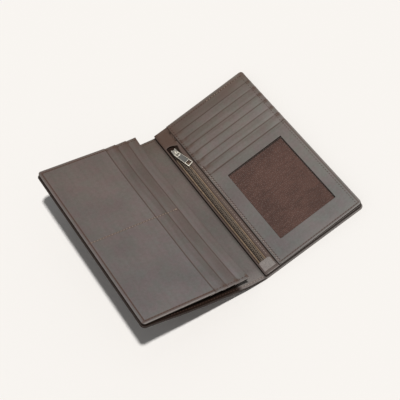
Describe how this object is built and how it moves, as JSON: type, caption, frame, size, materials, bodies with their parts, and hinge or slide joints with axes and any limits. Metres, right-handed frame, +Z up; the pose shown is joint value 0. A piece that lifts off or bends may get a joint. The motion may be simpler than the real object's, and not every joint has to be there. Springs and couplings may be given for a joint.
{
  "type": "leather wallet",
  "caption": "Long leather wallet lying open: card slots and a clear identity window beside a zipped coin pocket, raised left half with a slotted page.",
  "frame": {"origin": "middle of the right half's resting face", "axes": "+X across the open wallet from the raised left half to the flat right half, +Y along the spine away from the near end, +Z up"},
  "size_m": [0.2199, 0.196, 0.0657],
  "materials": {
    "cover_leather": "satin",
    "panel_leather": "satin",
    "lining_leather": "matte",
    "woven_lining": "matte",
    "zip_tape": "matte",
    "zip_brass": "satin",
    "zip_silver": "polished",
    "clear_film": "gloss"
  },
  "bodies": {
    "right_half": {"right_cover": "cover_leather", "right_lining": "lining_leather", "coin_bag": "woven_lining", "zip_panel": "panel_leather", "left_tape": "zip_tape", "right_tape": "zip_tape", "left_teeth": "zip_brass", "right_teeth": "zip_brass", "left_top_stop": "zip_silver", "right_top_stop": "zip_silver", "bottom_stop": "zip_silver", "zip_end_tab": "panel_leather", "card_base": "lining_leather", "card_far_strip": "panel_leather", "card_strip_1": "panel_leather", "card_strip_2": "panel_leather", "card_strip_3": "panel_leather", "card_strip_4": "panel_leather", "card_strip_5": "panel_leather", "card_strip_6": "panel_leather", "window_panel": "panel_leather", "window_lining": "woven_lining", "window_film": "clear_film"},
    "spine": {"spine_cover": "cover_leather", "spine_lining": "lining_leather"},
    "left_half": {"left_cover": "cover_leather", "left_lining": "lining_leather"},
    "page": {"page_lining": "lining_leather", "page_base": "panel_leather", "page_edge_strip": "panel_leather", "page_strip_1": "panel_leather", "page_strip_2": "panel_leather", "page_panel": "panel_leather"},
    "slider": {"slider_body": "zip_silver", "slider_base": "zip_silver"},
    "pull": {"pull": "zip_silver"}
  },
  "joints": [
    {"name": "right_crease", "type": "hinge", "parent": "right_half", "child": "spine", "pos_m": [-0.054, 0, 0.002], "axis": [0, -1, 0], "range_deg": [-70.5, 19.5]},
    {"name": "left_crease", "type": "hinge", "parent": "spine", "child": "left_half", "pos_m": [-0.07153, 0, 0.00821], "axis": [0, -1, 0], "range_deg": [-79.3, 10.7]},
    {"name": "page_hinge", "type": "hinge", "parent": "left_half", "child": "page", "pos_m": [-0.16429, 0, 0.06254], "axis": [0, -1, 0], "range_deg": [-5.3, 70]},
    {"name": "slider_slide", "type": "slide", "parent": "right_half", "child": "slider", "axis": [0, -1, 0], "range_m": [0, 0.1407]},
    {"name": "pull_hinge", "type": "hinge", "parent": "slider", "child": "pull", "pos_m": [-0.0469, 0.0637, 0.0075], "axis": [-0.9744, -0.225, 0], "range_deg": [0, 170]}
  ]
}
